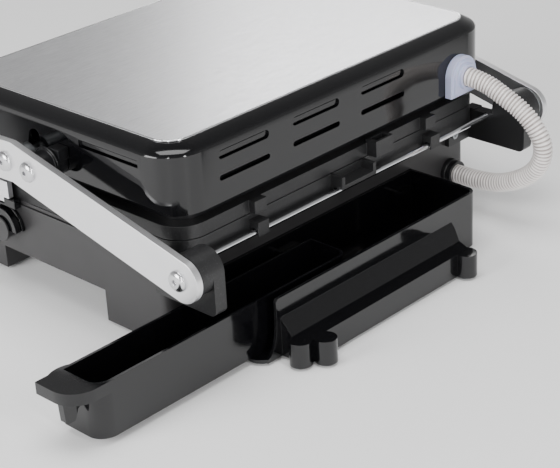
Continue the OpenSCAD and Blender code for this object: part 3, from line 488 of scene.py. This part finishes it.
# ---- Controls ----
# A satin black thermostat knob with a pointer, and two lamps with domed lenses, on a gloss
# panel at the front.
satin_abs, tree, shader, spot = finish("satin black ABS", "#151517", IOR=1.53)
grain = add(tree, "ShaderNodeTexNoise", Vector=spot, Scale=2200, Detail=3)
add(tree, "ShaderNodeBump", 0, shader["Normal"], Height=grain, Distance=0.00002, Strength=0.5)
patches = add(tree, "ShaderNodeTexNoise", Vector=spot, Scale=55)
add(tree, "ShaderNodeMapRange", 0, shader["Roughness"], Value=patches, **mid_noise, To_Min=0.28,
    To_Max=0.38)
for node, radius in (("hose_boot", 0.6), ("float_hubs", 0.6), ("lid_frame", 0.5), ("float_blocks", 0.8)):
    eased(node, satin_abs, radius)


def turned(start, along, profile, sides=72, lobes=0, depth=0.0):
    """A turned form: one ring for each (radius, distance) of the profile, in millimetres. With lobes,
    that many flutes are cut to the depth round each ring, in the share that a third number gives."""
    along = np.array(along, float)
    first = np.cross(along, [0, 0, 1.0])
    second = np.cross(along, first)
    a = np.linspace(0, 2 * np.pi, sides, endpoint=False)
    radius, run, cutting = (np.array([step[i] if i < len(step) else 0 for step in profile])
                            for i in range(3))
    reach = radius[:, None] - depth * cutting[:, None] * (0.5 + 0.5 * np.cos(lobes * a))
    round_it = np.cos(a)[:, None] * first + np.sin(a)[:, None] * second
    return np.array(start) + along * run[:, None, None] / 1000 + reach[..., None] / 1000 * round_it


# The knob: a shaft, a skirt, a fluted grip and a dished face with a raised pointer
knob_low, knob_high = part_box("thermostat_knob")
knob_depth = 0.0182
flute_count, flute_depth = 24, 0.9
knob_back = np.array([(knob_low.x + knob_high.x) / 2, knob_low.y + knob_depth,
                      (knob_low.z + knob_high.z) / 2])
shaft = [(3, -14), (3, 0)]
skirt = [(16.4, 0), (16.9, 0.4), (17, 1), (17, 2.4), (16.7, 2.9), (16, 3.3), (15.2, 3.7), (14.7, 4.4)]
fluted = [(14.6, 5.4, 0.6), (14.4, 6.6, 1), (14.1, 10, 1), (13.8, 14, 1), (13.6, 15.3, 0.7),
          (13.2, 16.2, 0.3)]
dished = [(12.6, 16.8), (11.9, 17), (11.2, 16.85), (10.5, 16.4), (9.5, 16.1), (4, 16)]
# The pointer is a stretched ball, a quarter as wide as long, half sunk in the face above its middle
u, v = np.meshgrid(np.linspace(0.12, np.pi - 0.12, 17), np.linspace(0, 2 * np.pi, 24, endpoint=False),
                   indexing="ij")
pointer_wide, pointer_proud, pointer_long = 0.0011, 0.0016, 0.0044
pointer = knob_back + np.array([0, -0.0164, 0.0066]) + np.stack(
    [pointer_wide * np.sin(u) * np.cos(v), pointer_proud * np.sin(u) * np.sin(v),
     pointer_long * np.cos(u)], -1)
knob = piece("knob", [
    sheet_of(turned(knob_back, (0, -1, 0), shaft + skirt + fluted + dished, 144, flute_count,
                    flute_depth),
             ends=(knob_back + np.array([0, 0.014, 0]), knob_back - np.array([0, 0.016, 0]))),
    sheet_of(pointer, ends=(pointer[0].mean(0), pointer[-1].mean(0)))], satin_abs, "knob", 50)
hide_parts("thermostat_knob")
for node, low, high in (("power_lamp", "#8e1c17", "#c2372c"), ("ready_lamp", "#1f6d34", "#3fa65a")):
    lens, tree, shader, spot = finish("tinted " + node.replace("_", " ") + " lens", low, IOR=1.49,
                                      Roughness=0.12, Transmission_Weight=0.3)
    depth = add(tree, "ShaderNodeTexNoise", Vector=spot, Scale=500)
    add(tree, "ShaderNodeMix", 2, shader["Base Color"], data_type="RGBA", _0=depth, _6=linear(low),
        _7=linear(high))
    eased(node, lens, 0.4, 3)


# ---- Arms and handle ----
# The arms are 5 mm aluminium plate, bead-blasted and clear anodised, with bright turned collars
# at the handle. Socket-headed stainless screws hold everything that turns.
anodised, tree, shader, spot = finish("satin anodised aluminium", "#f0f0f2", Metallic=1.0)
blasted = add(tree, "ShaderNodeTexNoise", Vector=spot, Scale=2000, Detail=3)
add(tree, "ShaderNodeBump", 0, shader["Normal"], Height=blasted, Distance=0.000012, Strength=0.5)
add(tree, "ShaderNodeMapRange", 0, shader["Roughness"], Value=blasted, **mid_noise, To_Min=0.32,
    To_Max=0.42)
clouds = add(tree, "ShaderNodeTexNoise", Vector=spot, Scale=33)
add(tree, "ShaderNodeMix", 2, shader["Base Color"], data_type="RGBA", _0=clouds, _6=linear("#ececee"),
    _7=linear("#f5f5f6"))
for node, radius in (("arm_right", 0.6), ("arm_left", 0.6), ("handle_collars", 0.8),
                     ("release_tab", 0.6)):
    eased(node, anodised, radius)
turned_steel, tree, shader, spot = finish("turned stainless steel", "#d9d9db", Metallic=1.0)
turning_lines = add(tree, "ShaderNodeTexNoise", Vector=spot, Scale=1700)
add(tree, "ShaderNodeMapRange", 0, shader["Roughness"], Value=turning_lines, **mid_noise,
    To_Min=0.16, To_Max=0.28)
for node in ("hinge_pins", "arm_screws"):
    eased(node, turned_steel, 0.35)
for node in ("hinge_washers", "limiter_pins", "handle_core"):
    eased(node, zinc_steel, 0.3)

# The grip's sleeve has a shallow rounded groove every 6 mm, and a chamfer at each end
groove_pitch, groove_depth, groove_half = 6, 0.45, 0.55
core_r, end_round, end_face = 8.1, 0.35, 1.2
grip_low, grip_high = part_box("handle_grip")
grip_start = np.array([grip_low.x, (grip_low.y + grip_high.y) / 2, (grip_low.z + grip_high.z) / 2])
grip_l = (grip_high.x - grip_low.x) * 1000
grip_r = (grip_high.z - grip_low.z) * 500
stations = np.linspace(end_face, grip_l - end_face, int(grip_l / 0.5))
from_groove = (stations - grip_l / 2) % groove_pitch - groove_pitch / 2
grooves = grip_r - groove_depth * np.exp(-(from_groove / groove_half) ** 2)
sleeve = [(core_r, 0), (grip_r - end_face, 0), (grip_r - end_round, end_round), *zip(grooves, stations),
          (grip_r - end_round, grip_l - end_round), (grip_r - end_face, grip_l), (core_r, grip_l)]
grip = piece("grip", [sheet_of(turned(grip_start, (1, 0, 0), sleeve, 64))], satin_abs, "arms", 50)
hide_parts("handle_grip")


# ---- Lid ----
# The lid shell is gloss black ABS, and its top is a brushed stainless sheet with a bright rolled
# edge. The nylon gland snaps into the rear wall.
eased("lid_shell", gloss_abs, 0.7, 3)
brushed, tree, shader, spot = finish("brushed stainless steel", "#d2d2d4", Metallic=1.0)
short_grain = add(tree, "ShaderNodeMapping", Vector=spot, Scale=[1 / 22, 1, 1])
hair = add(tree, "ShaderNodeTexNoise", Vector=short_grain, Scale=3200, Detail=2)
long_grain = add(tree, "ShaderNodeMapping", Vector=spot, Scale=[1 / 90, 1, 1])
streak = add(tree, "ShaderNodeTexNoise", Vector=long_grain, Scale=1100)
grained = add(tree, "ShaderNodeMath", operation="MULTIPLY_ADD", _0=streak, _1=0.35, _2=hair)
add(tree, "ShaderNodeBump", 0, shader["Normal"], Height=grained, Distance=0.000014, Strength=0.6)
add(tree, "ShaderNodeMapRange", 0, shader["Roughness"], Value=grained, From_Min=0.5, From_Max=0.85,
    To_Min=0.28, To_Max=0.4)
deep = add(tree, "ShaderNodeMapRange", Value=grained, From_Min=0.5, From_Max=0.85)
add(tree, "ShaderNodeMix", 2, shader["Base Color"], data_type="RGBA", _0=deep, _6=linear("#c9c9cb"),
    _7=linear("#dedee0"))
polished_edge, tree, shader, spot = finish("polished stainless edge", "#e8e8ea", Metallic=1.0)
buffed = add(tree, "ShaderNodeTexNoise", Vector=spot, Scale=900)
add(tree, "ShaderNodeMapRange", 0, shader["Roughness"], Value=buffed, To_Min=0.1, To_Max=0.2)


def rounded_loop(low, high, corner, inset, z, steps=12):
    """Points round a rectangle drawn in by inset. Its corners are arcs of what the inset leaves of
    their radius."""
    r = corner - inset
    a = np.linspace(0, np.pi / 2, steps)
    x0, x1, y0, y1 = low.x + corner, high.x - corner, low.y + corner, high.y - corner
    quarter = np.stack([np.cos(a), np.sin(a)], -1) * r
    turns = [quarter, quarter[:, ::-1] * [-1, 1], -quarter, quarter[:, ::-1] * [1, -1]]
    centres = [(x1, y1), (x0, y1), (x0, y0), (x1, y0)]
    plan = np.concatenate([np.array(m) + t for m, t in zip(centres, turns)])
    return np.column_stack([plan, np.full(len(plan), z)])


def rings_in(low, high, corner, profile):
    """A grid of such loops: one for each (inset, height) pair of the profile, in millimetres."""
    return np.stack([rounded_loop(low, high, corner, i / 1000, low.z + h / 1000) for i, h in profile])


cover_low, cover_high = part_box("lid_cover")
cover_mid = (cover_low + cover_high) / 2
cover_corner = 0.0165
rolled_edge = [(0.6, 0), (0.12, 0.12), (0, 0.45), (0.03, 0.75), (0.2, 1.02), (0.5, 1.18), (0.85, 1.19),
               (1.2, 1.1), (1.5, 0.98)]
cover_rim = piece("cover_rim", [sheet_of(rings_in(cover_low, cover_high, cover_corner, rolled_edge))],
                  polished_edge, "lid", 60)
# Inside its edge the sheet dips a little, then rises to a faint crown in the middle
panel = [(1.5, 0.98), (3, 0.96), (6, 0.97), (10, 1.0), (14, 1.02)]
top = np.array([cover_mid.x, cover_mid.y, cover_low.z + 0.00104])
under = np.array([cover_mid.x, cover_mid.y, cover_low.z])
cover_sheet = piece("cover_sheet", [
    sheet_of(rings_in(cover_low, cover_high, cover_corner, panel), ends=(None, top)),
    sheet_of(rings_in(cover_low, cover_high, cover_corner, [(14, 0), (0.6, 0)]), ends=(under, None))],
    brushed, "lid", 60)
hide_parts("lid_cover")
nylon, tree, shader, spot = finish("lilac-grey nylon", "#b4b9d6", IOR=1.53, Roughness=0.36,
                                   Subsurface_Weight=0.15, Subsurface_Scale=0.002)
milky = add(tree, "ShaderNodeTexNoise", Vector=spot, Scale=170)
add(tree, "ShaderNodeMix", 2, shader["Base Color"], data_type="RGBA", _0=milky, _6=linear("#aeb3d1"),
    _7=linear("#bcc1dc"))
matted = add(tree, "ShaderNodeTexNoise", Vector=spot, Scale=1700)
add(tree, "ShaderNodeBump", 0, shader["Normal"], Height=matted, Distance=0.000015, Strength=0.5)
eased("cable_gland", nylon, 0.9, 3)
